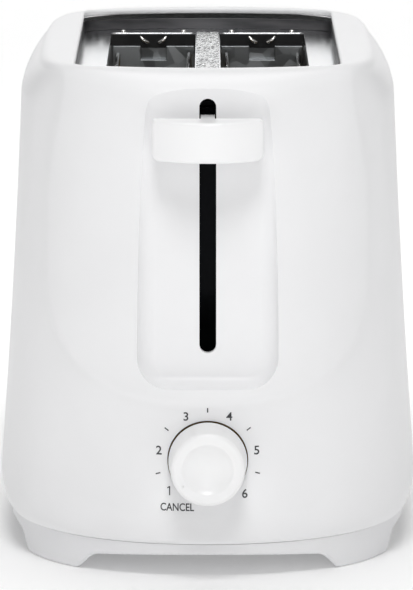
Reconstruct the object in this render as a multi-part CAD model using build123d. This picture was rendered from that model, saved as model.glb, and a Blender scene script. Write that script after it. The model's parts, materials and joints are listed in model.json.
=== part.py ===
"""Two-slice pop-up toaster with a white moulded body, built as separate pieces, in millimetres.

+Z is up, the lever and dial face -Y, +X is to the right of someone facing the lever.
The pieces are drawn about the centre of the moulded body and then moved along Y by seat_shift,
so that the origin is the middle of the whole footprint, on the surface the toaster stands on.
"""

from build123d import *
import math
import os

os.makedirs("parts", exist_ok=True)

# ---- outer form ----
body_height = 199.5
wall = 2.5
shell_bottom = 14.3
shoulder_start = 184.0
dial_front = -146.0
rear_reach = 137.0
seat_shift = -(dial_front + rear_reach) / 2

# height, half length, half width of the moulded body below its shoulder
body_sections = [
    (14.3, 129.5, 82.3),
    (17.5, 130.6, 84.0),
    (24.0, 131.0, 85.2),
    (34.0, 130.6, 84.9),
    (110.0, 125.2, 79.6),
    (184.0, 119.4, 76.0),
]
top_half_length = 101.5
top_half_width = 62.0
shoulder_steps = 4
plan_stops = (13, 24, 37, 50, 64)
side_power = 2.0
end_power = 3.7
top_side_power = 2.6
top_end_power = 7.0

# ---- opening in the top ----
opening_half_width = 52.7
opening_half_length = 97.5
opening_corner = 9.0
corner_centre_y = 82.0
corner_end_angle = 73.3
liner_top = 195.0

# ---- lever channel, lever slot and knob ----
channel_half_width = 27.5
channel_bottom = 76.0
channel_corner = 12.0
channel_cove = 7.0
channel_floor_low = -115.6
channel_lean = 0.3
lever_slot_half_width = 3.3
lever_slot_bottom = 88.5
lever_slot_top = 189.5
lever_travel = 78.0
knob_half_width = 21.8
knob_bottom = 166.7
knob_top = 182.7
knob_front = -136.0
knob_back = -121.5
knob_bow = 9.5
tab_half_width = 2.75
tab_inner_y = -110.0
tab_bottom = knob_bottom + 2.4
stem_half_width = 1.5
stem_bottom = 169.0
stem_top = 178.0

# ---- browning dial ----
dial_z = 47.8
dial_radius = 15.5
dial_face_radius = 14.2
dial_dish_radius = 9.5
dial_hole_radius = 15.9
dial_back = -128.6
shaft_radius = 3.0
running_gap = 0.05

# ---- base ----
base_half_length = 126.4
base_half_width = 79.0
base_underside = 9.5
base_floor = 12.5
base_rim_top = 20.0
base_rim = 3.0
foot_inner_x = 50.0
foot_inner_y = 76.0
screw_x = 58.0
screw_radius = 1.75
screw_head_radius = 3.2

# ---- chassis ----
plate_top = 190.5
sheet = 0.8
chamber_front = -62.2
chamber_rear = 84.2
chamber_half_width = 54.0
chamber_bottom = 26.0
tray_half_width = 50.0
slot_inner_x = 5.3
slot_outer_x = 41.2
slot_near_y = -60.0
slot_far_y = 82.5
slot_middle_x = (slot_inner_x + slot_outer_x) / 2
bread_pivot_z = 30.0
guard_inner_x = 8.0
guard_outer_x = 38.5
guard_top_z = 182.0
guard_wires = 7
wire_radius = 0.75
cross_radius = 0.9
weld_offset = 0.4
pivot_radius = 1.0

# ---- carriage ----
carriage_back = -70.5
carriage_sheet = 1.5
carriage_low = 104.0
carriage_high = 134.0
lifter_low = 106.0
lifter_top = 116.0
rod_x = 12.0
rod_y = -77.0
rod_radius = 2.5
spring_x = -12.0
spring_y = -78.0
bracket_z = 183.0
magnet_top = 46.0

# ---- control board, gland and chassis feet ----
board_y = -112.8
board_sheet = 1.6
board_half = 42.0
board_low = 13.5
gland_neck = 6.0
gland_bore = 3.6
leg_bottom = 15.0
screw_rows = (chamber_front + 4.2, chamber_rear - 4.2)

pieces = {}


def keep(name, *solids):
    """Puts a piece in its final place and stores it under its node name."""
    moved = [Pos(0, seat_shift, 0) * solid for solid in solids]
    pieces[name] = moved[0] if len(moved) == 1 else Compound(children=moved)


def block(x0, x1, y0, y1, z0, z1):
    """A box from its low and high faces."""
    size = (x1 - x0, y1 - y0, z1 - z0)
    return Pos((x0 + x1) / 2, (y0 + y1) / 2, (z0 + z1) / 2) * Box(*size)


def rod_z(x, y, z0, z1, radius):
    return Pos(x, y, (z0 + z1) / 2) * Cylinder(radius, z1 - z0)


def rod_y_axis(x, z, y0, y1, radius):
    return Pos(x, (y0 + y1) / 2, z) * Rot(90, 0, 0) * Cylinder(radius, y1 - y0)


def mirrored(solid):
    return mirror(solid, about=Plane.YZ)


# ---------------------------------------------------------------- the moulded outline

def plan_face(half_length, half_width, x_power, y_power, z):
    """A flat face bounded by arcs laid through a superellipse, longer along Y."""
    stops = []
    for turn in plan_stops:
        angle = math.radians(turn)
        x = half_width * math.cos(angle) ** (2 / x_power)
        y = half_length * math.sin(angle) ** (2 / y_power)
        stops.append((x, y))
    edges = []
    for sx in (1, -1):
        for sy in (1, -1):
            turned = [(sx * x, sy * y, z) for x, y in stops]
            edges.append(ThreePointArc(turned[0], turned[1], turned[2]))
            edges.append(ThreePointArc(turned[2], turned[3], turned[4]))
    side_x, side_y = stops[0]
    end_x, end_y = stops[-1]
    for sign in (1, -1):
        end_tip = (0, sign * half_length, z)
        side_tip = (sign * half_width, 0, z)
        edges.append(ThreePointArc((end_x, sign * end_y, z), end_tip, (-end_x, sign * end_y, z)))
        edges.append(ThreePointArc((sign * side_x, side_y, z), side_tip, (sign * side_x, -side_y, z)))
    return make_face(edges)


def body_size(z):
    """Half length, half width and the two powers of the outer form in the shoulder."""
    _, half_length, half_width = body_sections[-1]
    rise = (z - shoulder_start) / (body_height - shoulder_start)
    turn = 1 - math.sqrt(max(0.0, 1 - rise**2))
    length = half_length - (half_length - top_half_length) * turn
    width = half_width - (half_width - top_half_width) * turn
    x_power = side_power + (top_side_power - side_power) * turn
    y_power = end_power + (top_end_power - end_power) * turn
    return length, width, x_power, y_power


def moulded_body(inset, bottom):
    """The body's outer form, or with an inset the space inside its wall."""
    faces = []
    for z, half_length, half_width in body_sections:
        level = bottom if z == shell_bottom else z
        faces.append(plan_face(half_length - inset, half_width - inset, side_power, end_power, level))
    for step in range(1, shoulder_steps + 1):
        turn = math.radians(90 * step / shoulder_steps)
        z = shoulder_start + (body_height - shoulder_start) * math.sin(turn)
        length, width, x_power, y_power = body_size(z)
        level = z - inset * (z - shoulder_start) / (body_height - shoulder_start)
        faces.append(plan_face(length - inset, width - inset, x_power, y_power, level))
    return loft(faces, ruled=True)


def opening_face(grow, z):
    """The top opening's outline: straight sides, round corners and bowed ends."""
    half_width = opening_half_width + grow
    radius = opening_corner + grow
    centre_x = half_width - radius
    end = math.radians(corner_end_angle)
    mid = end / 2
    corner = (centre_x + radius * math.cos(end), corner_centre_y + radius * math.sin(end))
    corner_mid = (centre_x + radius * math.cos(mid), corner_centre_y + radius * math.sin(mid))
    tip = (0, opening_half_length + grow)

    def at(point, sx, sy):
        return (sx * point[0], sy * point[1], z)

    side = (half_width, corner_centre_y)
    edges = []
    for sy in (1, -1):
        edges.append(ThreePointArc(at(corner, 1, sy), at(tip, 1, sy), at(corner, -1, sy)))
        for sx in (1, -1):
            edges.append(ThreePointArc(at(side, sx, sy), at(corner_mid, sx, sy), at(corner, sx, sy)))
    for sx in (1, -1):
        edges.append(Line(at(side, sx, 1), at(side, sx, -1)))
    return make_face(edges)


def opening_prism(grow, z0, z1):
    return extrude(opening_face(grow, z0), z1 - z0)


def channel_solid(grow):
    """The recess the knob runs in, open at the front and the top, with a coved floor."""
    half_width = channel_half_width + grow
    low = channel_bottom - grow
    high = body_height + 20
    depth = 30
    box = Pos(0, 0, (low + high) / 2) * Box(2 * half_width, depth, high - low)
    lower = box.edges().filter_by(Axis.Y).group_by(Axis.Z)[0]
    box = fillet(lower, channel_corner + grow)
    floor_edges = box.faces().sort_by(Axis.Y)[-1].edges()
    kept = [e for e in floor_edges if e.center().Z < high - 1]
    box = fillet(kept, channel_cove + grow)
    placed = Pos(0, channel_floor_low + grow - depth / 2, 0) * box
    return placed.rotate(Axis((0, channel_floor_low, channel_bottom), (1, 0, 0)), -channel_lean)


def slot_solid(half_width, low, high, y0, y1):
    """An upright slot with round ends, running along Y."""
    straight = block(-half_width, half_width, y0, y1, low + half_width, high - half_width)
    lower = rod_y_axis(0, low + half_width, y0, y1, half_width)
    upper = rod_y_axis(0, high - half_width, y0, y1, half_width)
    return straight + lower + upper


def make_shell():
    outer = moulded_body(0, shell_bottom)
    shell = outer - moulded_body(wall, shell_bottom - 5)
    shell = shell - opening_prism(0, body_height - 12, body_height + 5)
    channel = channel_solid(0)
    channel_wall = (channel_solid(wall) - channel) & outer
    slot = slot_solid(lever_slot_half_width, lever_slot_bottom, lever_slot_top, -135, -105)
    shell = (shell - channel) + (channel_wall - slot)
    shell = shell - rod_y_axis(0, dial_z, -140, -115, dial_hole_radius)
    shell = shell - block(-51.6, 51.6, 100, 140, 0, 25.1)
    shell = shell - rod_y_axis(0, dial_z, 120, 140, gland_neck + 0.2)
    keep("outer_shell", shell)


# ---------------------------------------------------------------- base, tray and gland

def base_prism(inset, z0, z1):
    face = plan_face(base_half_length - inset, base_half_width - inset, side_power, end_power, z0)
    return extrude(face, z1 - z0)


def make_base():
    base = base_prism(0, 0, base_rim_top) - base_prism(base_rim, base_floor, base_rim_top + 1)
    arch = 6.0
    under_long = block(-foot_inner_x, foot_inner_x, -150, 150, -1, base_underside)
    under_long = fillet(under_long.edges().filter_by(Axis.Y).group_by(Axis.Z)[-1], arch)
    under_cross = block(-100, 100, -foot_inner_y, foot_inner_y, -1, base_underside)
    under_cross = fillet(under_cross.edges().filter_by(Axis.X).group_by(Axis.Z)[-1], arch)
    base = base - under_long - under_cross
    base = base - block(-52, 52, 90, 140, base_floor, 30)
    for y in screw_rows:
        for x in (-screw_x, screw_x):
            base = base + rod_z(x, y, base_floor, leg_bottom, 4.5)
            base = base - rod_z(x, y, base_underside - 1, leg_bottom + 1, screw_radius + running_gap)
            base = base - rod_z(x, y, -1, base_underside, screw_head_radius + 0.4)
    for x in (-36, 36):
        post = block(x - 4, x + 4, board_y - 3, board_y + 3 + board_sheet, base_floor, 26)
        base = base + post
    base = base - block(-board_half, board_half, board_y, board_y + board_sheet, board_low, 30)
    keep("base_tray", base)


def make_crumb_tray():
    inside = extrude(plan_face(126.6, 78.0, side_power, end_power, 13), 12)
    outside = block(-tray_half_width, tray_half_width, -58, 140, 14, 18)
    hollow = block(-tray_half_width + sheet, tray_half_width - sheet, -58 + sheet, 141, 14 + sheet, 19)
    keep("crumb_tray", (outside - hollow) & inside)

    curved = extrude(plan_face(130.8, 84.7, side_power, end_power, 14.5), 10)
    curved = curved - extrude(plan_face(126.8, 80.8, side_power, end_power, 13), 15)
    front = curved & block(-51, 51, 90, 140, 14.5, 24.5)
    grip = block(-20, 20, 128, rear_reach, 17, 21.5)
    grip = fillet(grip.edges().filter_by(Axis.Z), 2.5)
    grip = grip - block(-16, 16, 131.5, 134.5, 16, 19)
    grip = grip - extrude(plan_face(127.2, 81.2, side_power, end_power, 13), 15)
    tongue = block(-30, 30, 118, 127.5, 14.8, 16.3)
    tongue = tongue - block(-60, 60, 60, 126.2, 17.9, 19)
    keep("crumb_tray_handle", front + grip + tongue)


def make_gland():
    body = rod_y_axis(0, dial_z, 122, 134, gland_neck)
    body = body + rod_y_axis(0, dial_z, 130.4, 134, 9)
    body = body + rod_y_axis(0, dial_z, 122, 126.6, 8.5)
    body = fillet(body.edges().filter_by(GeomType.CIRCLE).sort_by(Axis.Y)[-1], 1.2)
    body = body - rod_y_axis(0, dial_z, 115, 140, gland_bore)
    keep("cord_gland", body)


# ---------------------------------------------------------------- chassis

def leg_pair(y_plate, y_flange):
    """Two feet of an end plate, each with a flange that a base screw holds."""
    legs = None
    low, high = min(y_plate, y_flange), max(y_plate, y_flange)
    for side in (-1, 1):
        x0, x1 = sorted((side * 52.5, side * 62))
        upright = block(x0, x1, y_plate - sheet / 2, y_plate + sheet / 2, leg_bottom, 32)
        flange = block(x0, x1, low, high, leg_bottom, leg_bottom + sheet)
        leg = upright + flange
        legs = leg if legs is None else legs + leg
    return legs


def make_end_plates():
    y = chamber_front - sheet / 2
    half = chamber_half_width
    top = plate_top - sheet - 0.1
    plate = block(-half, half, y - sheet / 2, y + sheet / 2, 23, top)
    plate = plate + leg_pair(y, y + 8.6)
    for side in (-1, 1):
        x = side * slot_middle_x
        plate = plate - block(x - 2, x + 2, y - 2, y + 2, 26, lifter_top + 3)
        for pivot in (guard_inner_x, guard_outer_x):
            hole = rod_y_axis(side * pivot, bread_pivot_z, y - 2, y + 2, pivot_radius + running_gap)
            plate = plate - hole
        plate = plate - rod_z(side * screw_x, screw_rows[0], 10, 20, screw_radius + running_gap)
    keep("front_end_plate", plate)

    y = chamber_rear + sheet / 2
    plate = block(-half, half, y - sheet / 2, y + sheet / 2, 23, top)
    plate = plate + leg_pair(y, y - 8.6)
    for side in (-1, 1):
        for pivot in (guard_inner_x, guard_outer_x):
            hole = rod_y_axis(side * pivot, bread_pivot_z, y - 2, y + 2, pivot_radius + running_gap)
            plate = plate - hole
        plate = plate - rod_z(side * screw_x, screw_rows[1], 10, 20, screw_radius + running_gap)
    keep("rear_end_plate", plate)


def make_reflectors():
    x = chamber_half_width
    top = plate_top - sheet - 0.1
    right = block(x - 0.6, x, chamber_front, chamber_rear, chamber_bottom, top)
    for z in (70, 130):
        bead = rod_y_axis(x, z, chamber_front + 14, chamber_rear - 14, 1.6)
        right = right + (bead & block(x, x + 3, -200, 200, 0, 200))
    keep("right_reflector", right)
    keep("left_reflector", mirrored(right))


def make_rails():
    """Two cross rails under the chamber that tie the reflectors together."""
    front = block(-53.2, 53.2, -40, -28, 24, 24.8) + block(-53.2, 53.2, -40, -39.2, 20, 24)
    rear = block(-53.2, 53.2, 50, 62, 24, 24.8) + block(-53.2, 53.2, 61.2, 62, 20, 24)
    keep("chamber_rails", front, rear)


def make_top_plate():
    plate = opening_prism(1.6, plate_top - sheet, plate_top)
    for side in (-1, 1):
        x0, x1 = sorted((side * slot_inner_x, side * slot_outer_x))
        rim = block(x0 - sheet, x1 + sheet, slot_near_y - sheet, slot_far_y + sheet, 185.5, plate_top)
        plate = plate + rim
    for side in (-1, 1):
        x0, x1 = sorted((side * slot_inner_x, side * slot_outer_x))
        hole = block(x0, x1, slot_near_y, slot_far_y, 180, plate_top + 5)
        hole = fillet(hole.edges().filter_by(Axis.Z), 2.0)
        plate = plate - hole
    plate = plate - block(-chamber_half_width - 1, chamber_half_width + 1, chamber_rear,
                          chamber_rear + sheet, 180, plate_top - sheet)
    plate = plate - block(-chamber_half_width - 1, chamber_half_width + 1, chamber_front - sheet,
                          chamber_front, 180, plate_top - sheet)
    keep("top_plate", plate)


def make_liner():
    top = liner_top
    ring = opening_prism(1.1, plate_top, top) - opening_prism(0.3, plate_top - 1, top + 1)
    keep("slot_liner", ring)


def make_rivets():
    rivets = []
    for side in (-1, 1):
        for x in (slot_inner_x + 5, slot_outer_x - 5):
            rivet = Pos(side * x, slot_far_y + 4, plate_top) * Cone(2.0, 1.2, 0.9,
                    align=(Align.CENTER, Align.CENTER, Align.MIN))
            rivets.append(rivet)
    keep("slot_rivets", *rivets)


def make_comb():
    """Black stay at the far end of each slot, notched for the guards' wires."""
    stays = []
    for side in (-1, 1):
        x0, x1 = sorted((side * (slot_inner_x + 0.5), side * (slot_outer_x - 0.5)))
        stay = block(x0, x1, 80.6, 84.1, 174, 185)
        notch = block(side * slot_middle_x - 5.5, side * slot_middle_x + 5.5, 79, 86, 179, 190)
        stays.append(stay - notch)
    keep("guard_stays", *stays)


# ---------------------------------------------------------------- heaters

def winding(x0, x1):
    """One flat ribbon that runs back and forth up the face of a board."""
    low, pitch, rows = 52.0, 9.6, 13
    y0, y1 = -54.0, 76.0
    ribbon = None
    for row in range(rows):
        z = low + pitch * row
        strip = block(x0, x1, y0, y1, z, z + 1.2)
        ribbon = strip if ribbon is None else ribbon + strip
        if row < rows - 1:
            y = y1 - 1.2 if row % 2 == 0 else y0
            ribbon = ribbon + block(x0, x1, y, y + 1.2, z + 1.2, z + pitch)
    return ribbon


def make_heaters():
    thick = 0.8
    reach = (chamber_front, chamber_rear, 44, 176)
    keep("centre_mica_board", block(-thick / 2, thick / 2, *reach))
    keep("right_mica_board", block(48.4, 48.4 + thick, *reach))
    keep("left_mica_board", block(-48.4 - thick, -48.4, *reach))
    keep("right_element", winding(48.1, 48.4))
    keep("left_element", winding(-48.4, -48.1))
    keep("centre_element", winding(thick / 2, thick / 2 + 0.3), winding(-thick / 2 - 0.3, -thick / 2))


def make_guard(name, x):
    """A wire grid that leans in to hold the bread: pivot rod, cross rods and uprights."""
    y0, y1 = -52.0, 74.0
    grid = rod_y_axis(x, bread_pivot_z, chamber_front - 3, chamber_rear + 3, pivot_radius)
    for z in (106.0, guard_top_z):
        grid = grid + rod_y_axis(x, z, y0 - 2, y1 + 2, cross_radius)
    for wire in range(guard_wires):
        y = y0 + (y1 - y0) * wire / (guard_wires - 1)
        grid = grid + rod_z(x + weld_offset, y, bread_pivot_z, guard_top_z + 0.4, wire_radius)
    keep(name, grid)


def make_guards():
    make_guard("right_inner_guard", guard_inner_x)
    make_guard("right_outer_guard", guard_outer_x)
    make_guard("left_inner_guard", -guard_inner_x)
    make_guard("left_outer_guard", -guard_outer_x)


# ---------------------------------------------------------------- carriage

def make_lifters():
    for name, side in (("right_bread_lifter", 1), ("left_bread_lifter", -1)):
        x = side * slot_middle_x
        bar = block(x - 0.6, x + 0.6, carriage_back, 79, lifter_low, lifter_top - 1)
        for finger in range(6):
            y = -48 + 24 * finger
            bar = bar + block(x - 12, x + 12, y - 2, y + 2, lifter_top - 1, lifter_top)
        keep(name, bar)


def make_carriage():
    front = carriage_back - carriage_sheet
    plate = block(-30, 30, front, carriage_back, carriage_low, carriage_high)
    plate = fillet(plate.edges().filter_by(Axis.Y), 3)
    plate = plate + block(-6, 6, front, carriage_back, carriage_high - 5, 180)
    keep("carriage_plate", plate)

    bush = rod_z(rod_x, rod_y, carriage_low, carriage_high, 5)
    bush = bush + block(rod_x - 5, rod_x + 5, rod_y, front, carriage_low, carriage_high)
    bush = bush - rod_z(rod_x, rod_y, carriage_low - 1, carriage_high + 1, rod_radius + running_gap)
    keep("carriage_bush", bush)

    keep("armature_plate", block(-30, -12, front - 11, front, magnet_top + lever_travel + 0.3,
                                 magnet_top + lever_travel + 2.3))


def make_lever():
    front = carriage_back - carriage_sheet
    stem = block(-stem_half_width, stem_half_width, -126, front, stem_bottom, stem_top)
    keep("lever_stem", stem)

    bowed = ThreePointArc((-knob_half_width, knob_front + knob_bow), (0, knob_front),
                          (knob_half_width, knob_front + knob_bow))
    outline = make_face([
        bowed,
        Line((knob_half_width, knob_front + knob_bow), (knob_half_width, knob_back)),
        Line((knob_half_width, knob_back), (-knob_half_width, knob_back)),
        Line((-knob_half_width, knob_back), (-knob_half_width, knob_front + knob_bow)),
    ])
    knob = extrude(Pos(0, 0, knob_bottom) * outline, knob_top - knob_bottom)
    ends = knob.edges().filter_by(Axis.Y)
    knob = fillet(ends, 3)
    knob = knob + block(-tab_half_width, tab_half_width, knob_back - 2, tab_inner_y, tab_bottom, knob_top)
    keep("lever_knob", knob - stem)


def make_guide():
    keep("guide_rod", rod_z(rod_x, rod_y, base_floor, bracket_z + 3, rod_radius))
    bracket = block(-20, 20, -86, chamber_front - sheet, bracket_z, bracket_z + 1.5)
    bracket = bracket + block(-20, 20, chamber_front - sheet - 1.5, chamber_front - sheet, 172, bracket_z)
    bracket = bracket - block(-8, 8, -86, -69.5, 150, bracket_z)
    bracket = bracket - rod_z(rod_x, rod_y, bracket_z - 1, bracket_z + 5, rod_radius + running_gap)
    keep("top_bracket", bracket)


def make_spring():
    """Extension spring that lifts the carriage, hooked under the top bracket."""
    low, high = carriage_high + 0.3, bracket_z - 0.3
    coil_radius, wire = 3.6, 0.45
    turns = 12
    height = high - low - 2 * wire
    path = Helix(pitch=height / turns, height=height, radius=coil_radius)
    path = Pos(spring_x, spring_y, low + wire) * path
    profile = Plane(origin=path @ 0, z_dir=path % 0) * Circle(wire)
    keep("lift_spring", sweep(profile, path=path))
    lug = block(spring_x - 4, spring_x + 4, spring_y - 4, carriage_back - carriage_sheet,
                carriage_high - 2, carriage_high)
    keep("spring_lug", lug)


def make_magnet():
    y0, y1 = -82.0, -75.5
    core = block(-30, -12, y0, y1, 30, magnet_top)
    core = core - block(-27, -23, y0 - 1, y1 + 1, 34, magnet_top + 1)
    core = core - block(-19, -15, y0 - 1, y1 + 1, 34, magnet_top + 1)
    keep("magnet_core", core)
    coil = block(-26.6, -15.4, y0 - 3, y1 + 3, 34.4, 44)
    coil = fillet(coil.edges().filter_by(Axis.Z), 1.5)
    coil = coil - block(-23.2, -18.8, y0 - 0.2, y1 + 0.2, 30, 50)
    keep("magnet_coil", coil)
    bracket = block(-32, -10, y0, y1, base_floor, base_floor + 1.2)
    bracket = bracket + block(-32, -10, y0, y1, 28.8, 30)
    bracket = bracket + block(-22.5, -19.5, y0, y1, base_floor, 30)
    keep("magnet_bracket", bracket)


def make_contacts():
    keep("contact_block", block(18, 30, -84, -74, base_floor, 34))
    blades = [block(x, x + 3, -80, -79.4, 34, 52) for x in (19.5, 25.5)]
    keep("contact_blades", *blades)


# ---------------------------------------------------------------- control board and dial

def make_board():
    back = board_y + board_sheet
    keep("circuit_board", block(-board_half, board_half, board_y, back, board_low, 68))
    keep("board_relay", block(-38, -20, back, back + 15, 30, 48))
    keep("board_capacitor", rod_y_axis(30, 42, back, back + 13, 5))
    keep("board_connector", block(4, 22, back, back + 9, 30, 39))


def make_dial():
    pot = rod_y_axis(0, dial_z, -120.8, board_y, 8)
    pot = pot + rod_y_axis(0, dial_z, -125.5, -120.8, 4.5)
    pot = pot - rod_y_axis(0, dial_z, -127, -117, shaft_radius + running_gap)
    keep("browning_control", pot)

    shaft = rod_y_axis(0, dial_z, -141, -117.3, shaft_radius)
    keep("dial_shaft", shaft)

    length = dial_back - dial_front
    dial = Pos(0, (dial_back + dial_front) / 2, dial_z) * Rot(90, 0, 0) * Cone(
        dial_radius, dial_face_radius, length)
    dial = fillet(dial.edges().filter_by(GeomType.CIRCLE).sort_by(Axis.Y)[0], 1.5)
    dish_sphere = 40.0
    dish_depth = 1.2
    dish = Pos(0, dial_front + dish_depth - dish_sphere, dial_z) * Sphere(dish_sphere)
    dish = dish & rod_y_axis(0, dial_z, dial_front - 5, dial_front + 5, dial_dish_radius)
    keep("browning_dial", dial - dish - shaft)


# ---------------------------------------------------------------- fasteners

def make_screws():
    screws = []
    for y in screw_rows:
        for x in (-screw_x, screw_x):
            shank = rod_z(x, y, base_underside, leg_bottom + sheet + 3, screw_radius)
            head = rod_z(x, y, base_underside - 2, base_underside, screw_head_radius)
            screws.append(shank + head)
    keep("base_screws", *screws)


make_shell()
make_base()
make_crumb_tray()
make_gland()
make_end_plates()
make_reflectors()
make_rails()
make_top_plate()
make_liner()
make_rivets()
make_comb()
make_heaters()
make_guards()
make_lifters()
make_carriage()
make_lever()
make_guide()
make_spring()
make_magnet()
make_contacts()
make_board()
make_dial()
make_screws()

for name, piece in pieces.items():
    export_step(piece, f"parts/{name}.step")
print(len(pieces), "pieces written, moved along Y by", seat_shift)
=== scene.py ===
import json
import math
import bpy
import bmesh
import numpy as np
from mathutils import Matrix, Vector
from mathutils.bvhtree import BVHTree


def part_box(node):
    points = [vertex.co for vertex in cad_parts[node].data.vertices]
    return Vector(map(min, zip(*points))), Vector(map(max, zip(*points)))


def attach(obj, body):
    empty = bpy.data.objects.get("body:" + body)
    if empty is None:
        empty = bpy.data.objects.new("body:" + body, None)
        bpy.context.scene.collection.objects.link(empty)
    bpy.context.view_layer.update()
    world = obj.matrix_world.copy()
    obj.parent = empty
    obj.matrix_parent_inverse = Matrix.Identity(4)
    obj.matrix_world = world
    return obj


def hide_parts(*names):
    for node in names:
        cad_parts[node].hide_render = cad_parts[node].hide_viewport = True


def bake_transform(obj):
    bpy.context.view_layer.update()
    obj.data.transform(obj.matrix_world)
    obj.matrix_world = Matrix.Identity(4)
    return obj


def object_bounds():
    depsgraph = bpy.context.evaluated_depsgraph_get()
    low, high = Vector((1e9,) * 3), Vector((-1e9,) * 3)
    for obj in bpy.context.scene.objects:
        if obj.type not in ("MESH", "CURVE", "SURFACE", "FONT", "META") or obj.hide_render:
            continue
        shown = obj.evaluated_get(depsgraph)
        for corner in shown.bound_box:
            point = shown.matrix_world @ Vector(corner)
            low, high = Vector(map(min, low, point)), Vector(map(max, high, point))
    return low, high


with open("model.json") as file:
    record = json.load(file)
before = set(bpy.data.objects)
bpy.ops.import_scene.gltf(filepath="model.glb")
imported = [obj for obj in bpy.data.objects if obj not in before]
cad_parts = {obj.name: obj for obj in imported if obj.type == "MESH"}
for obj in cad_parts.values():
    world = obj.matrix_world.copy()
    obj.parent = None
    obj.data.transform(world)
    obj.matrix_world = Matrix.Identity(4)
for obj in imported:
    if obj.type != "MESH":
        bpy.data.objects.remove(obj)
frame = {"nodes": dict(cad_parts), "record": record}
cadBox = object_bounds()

mm = 0.001
nodes = frame["nodes"]
shellLow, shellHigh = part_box("outer_shell")
middleY = (shellLow.y + shellHigh.y) / 2 / mm  # the moulded body's own middle, along Y
print("frame loaded, body middle at y", round(middleY, 2), "mm")


# camera, floor and lights

studio = {
    "cameraPlace": (-0.0005, -2.0525, 0.460),  # metres
    "cameraDown": 10.17,  # degrees below level
    "lens": 306.2,
    "floorColour": "f3f3f3",
    "nearGlow": 0.13,  # how much the paper lights up round the toaster
    "floorGlow": 0.42,  # and beyond the outer radius
    "glowRadii": (0.08, 0.40),
    "cardGlow": 0.6,  # the white card that the steel top mirrors
    "card": (2.6, 1.1, 0.02, 1.5),  # how far behind, half width, foot and head in metres
    "floorReach": 7,
    "worldGrey": 0.27,
    "paperWhite": 1.0,  # what shows beyond the floor
    "lights": {
        # name: place, aims at, size, watts
        "keySoftbox": ((0, -1.25, 1.9), (0, -0.05, 0.1), 0.7, 18.5),
        "topSoftbox": ((0, 0.45, 1.8), (0, 0.0, 0.1), 1.1, 9),
        "frontSoftbox": ((0.1, -2.6, 0.9), (0, 0, 0.1), 1.1, 5.5),
        "leftSoftbox": ((-1.7, -0.4, 0.6), (0, 0, 0.1), 0.8, 0.5),
        "rightSoftbox": ((1.7, -0.4, 0.6), (0, 0, 0.1), 0.8, 0.5),
    },
}


def makeCamera():
    data = bpy.data.cameras.new("camera")
    data.lens = studio["lens"]
    data.sensor_width = 36
    data.clip_end = 50
    camera = bpy.data.objects.new("camera", data)
    camera.location = studio["cameraPlace"]
    camera.rotation_euler = (math.radians(90 - studio["cameraDown"]), 0, 0)
    bpy.context.scene.collection.objects.link(camera)
    bpy.context.scene.camera = camera


def makeLight(name, place, aim, size, watts):
    data = bpy.data.lights.new(name, "AREA")
    data.size = size
    data.energy = watts
    light = bpy.data.objects.new(name, data)
    light.location = place
    light.rotation_euler = (Vector(aim) - Vector(place)).to_track_quat("-Z", "Y").to_euler()
    bpy.context.scene.collection.objects.link(light)


# materials

def fromHex(code):
    # sRGB hex to linear colour
    channels = [int(code[i:i + 2], 16) / 255 for i in (0, 2, 4)]
    return [c / 12.92 if c <= 0.04045 else ((c + 0.055) / 1.055) ** 2.4 for c in channels] + [1]


def addNode(tree, kind, inputs=None, **settings):
    node = tree.nodes.new(kind)
    for key, value in settings.items():
        setattr(node, key, value)
    for key, value in (inputs or {}).items():
        if isinstance(value, bpy.types.NodeSocket):
            tree.links.new(value, node.inputs[key])
        else:
            node.inputs[key].default_value = value
    return node


def makeMaterial(name, finish):
    # a solid finish whose tone, gloss and relief vary together over real sizes in millimetres
    material = bpy.data.materials.new(name)
    material.use_nodes = True
    tree = material.node_tree
    shader = tree.nodes["Principled BSDF"]
    for key, value in finish.get("shader", {}).items():
        shader.inputs[key].default_value = value
    shader.inputs["Metallic"].default_value = finish.get("metallic", 0)
    place = addNode(tree, "ShaderNodeTexCoord").outputs["Object"]
    stretched = [1 / (size * mm) for size in finish["toneSize"]]
    toneMap = addNode(tree, "ShaderNodeMapping", {"Vector": place, "Scale": stretched})
    if finish.get("crystals"):
        tone = addNode(tree, "ShaderNodeTexVoronoi", {"Vector": toneMap.outputs[0], "Scale": 1})
        tone = addNode(tree, "ShaderNodeSeparateColor", {0: tone.outputs["Color"]}).outputs[0]
    else:
        tone = addNode(tree, "ShaderNodeTexNoise", {"Vector": toneMap.outputs[0], "Scale": 1, "Detail": 4})
        tone = tone.outputs[0]
    ramp = addNode(tree, "ShaderNodeValToRGB", {"Fac": tone})
    ramp.color_ramp.elements[0].position = finish.get("toneLow", 0.3)
    ramp.color_ramp.elements[1].position = finish.get("toneHigh", 0.7)
    ramp.color_ramp.elements[0].color = fromHex(finish["dark"])
    ramp.color_ramp.elements[1].color = fromHex(finish["light"])
    tree.links.new(ramp.outputs[0], shader.inputs["Base Color"])
    low, high = finish["roughness"]
    gloss = addNode(tree, "ShaderNodeMapRange", {"Value": tone, "From Min": 0.3, "From Max": 0.7,
                                                 "To Min": low, "To Max": high})
    tree.links.new(gloss.outputs[0], shader.inputs["Roughness"])
    grainScale = [1 / (size * mm) for size in finish["grainSize"]]
    grainMap = addNode(tree, "ShaderNodeMapping", {"Vector": place, "Scale": grainScale})
    grain = addNode(tree, "ShaderNodeTexNoise", {"Vector": grainMap.outputs[0], "Scale": 1, "Detail": 2})
    bump = addNode(tree, "ShaderNodeBump", {"Height": grain.outputs[0], "Strength": finish.get("bump", 0.3),
                                            "Distance": finish["grainDepth"] * mm})
    tree.links.new(bump.outputs[0], shader.inputs["Normal"])
    return material


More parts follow.
